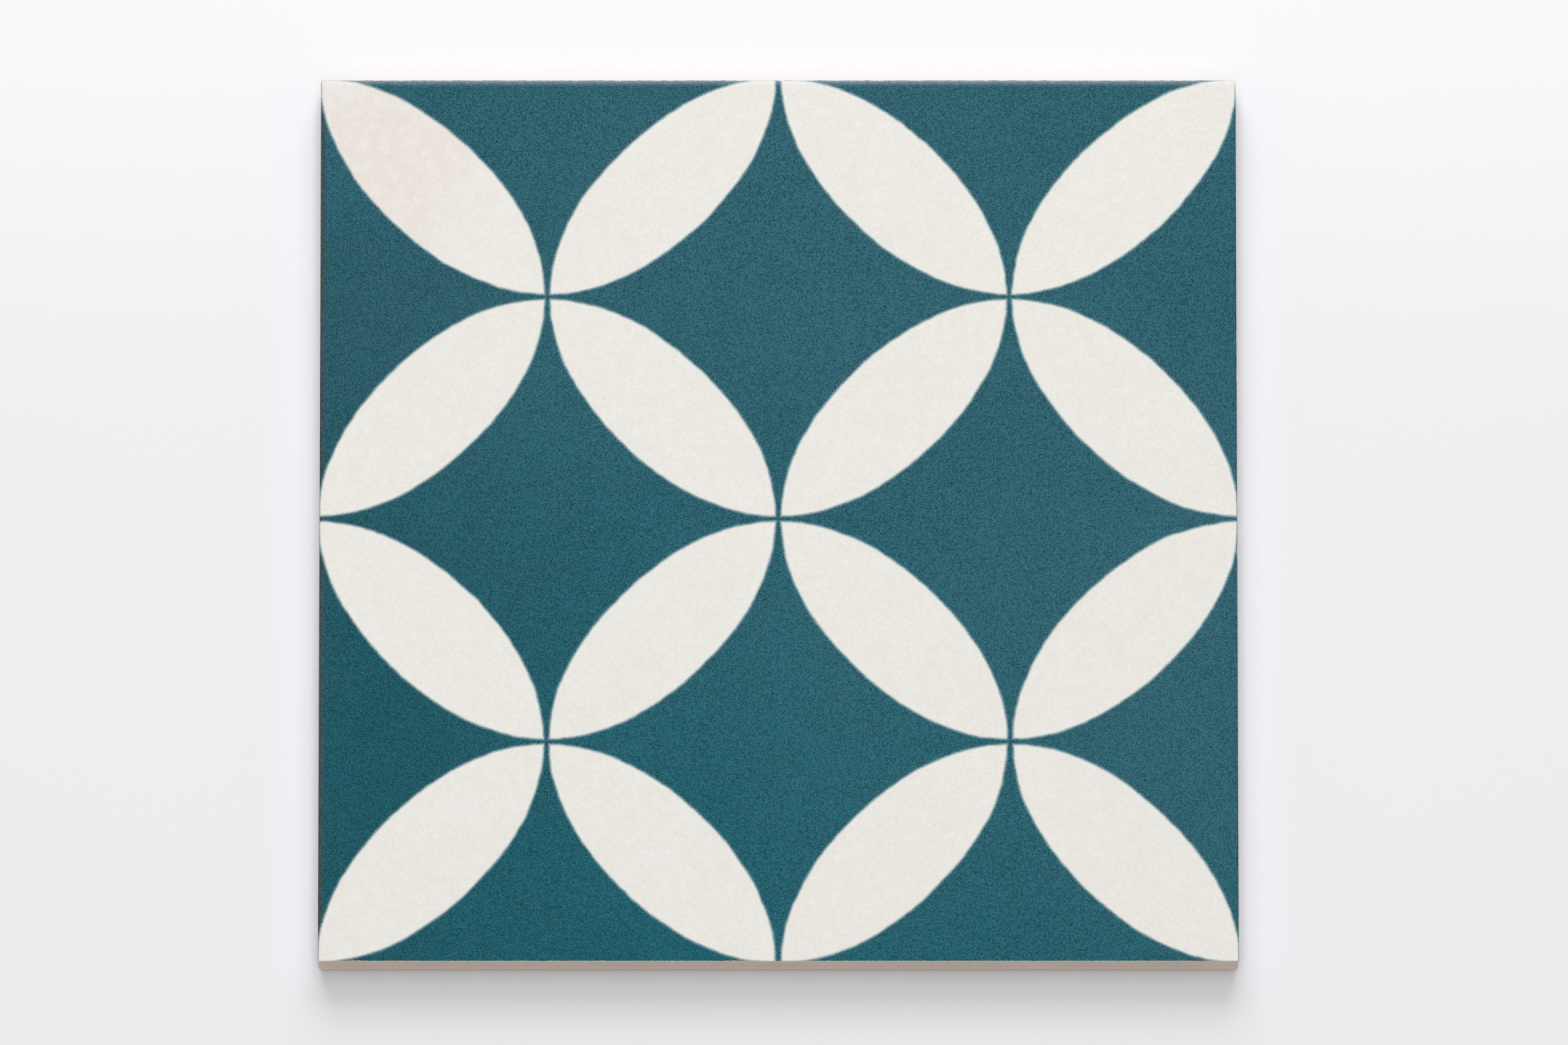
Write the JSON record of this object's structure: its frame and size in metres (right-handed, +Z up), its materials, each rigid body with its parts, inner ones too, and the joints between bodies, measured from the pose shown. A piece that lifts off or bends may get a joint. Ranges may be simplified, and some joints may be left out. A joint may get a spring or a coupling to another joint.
{
  "type": "floor tile",
  "caption": "Square matt porcelain tile with a printed face of crossing petals on a teal ground, one rolled pair of edges and a pocketed keying back.",
  "frame": {"origin": "middle of the back, on the plane the tile lies on", "axes": "+Z up through the printed face, +Y from the front side of the picture to the far side, +X to the right"},
  "size_m": [0.2002, 0.2002, 0.01],
  "materials": {
    "tile_ceramic": "matt, printed in teal and off-white on the face, bare beige body on the sides and back"
  },
  "bodies": {
    "root": {"tile": "tile_ceramic"}
  },
  "joints": []
}
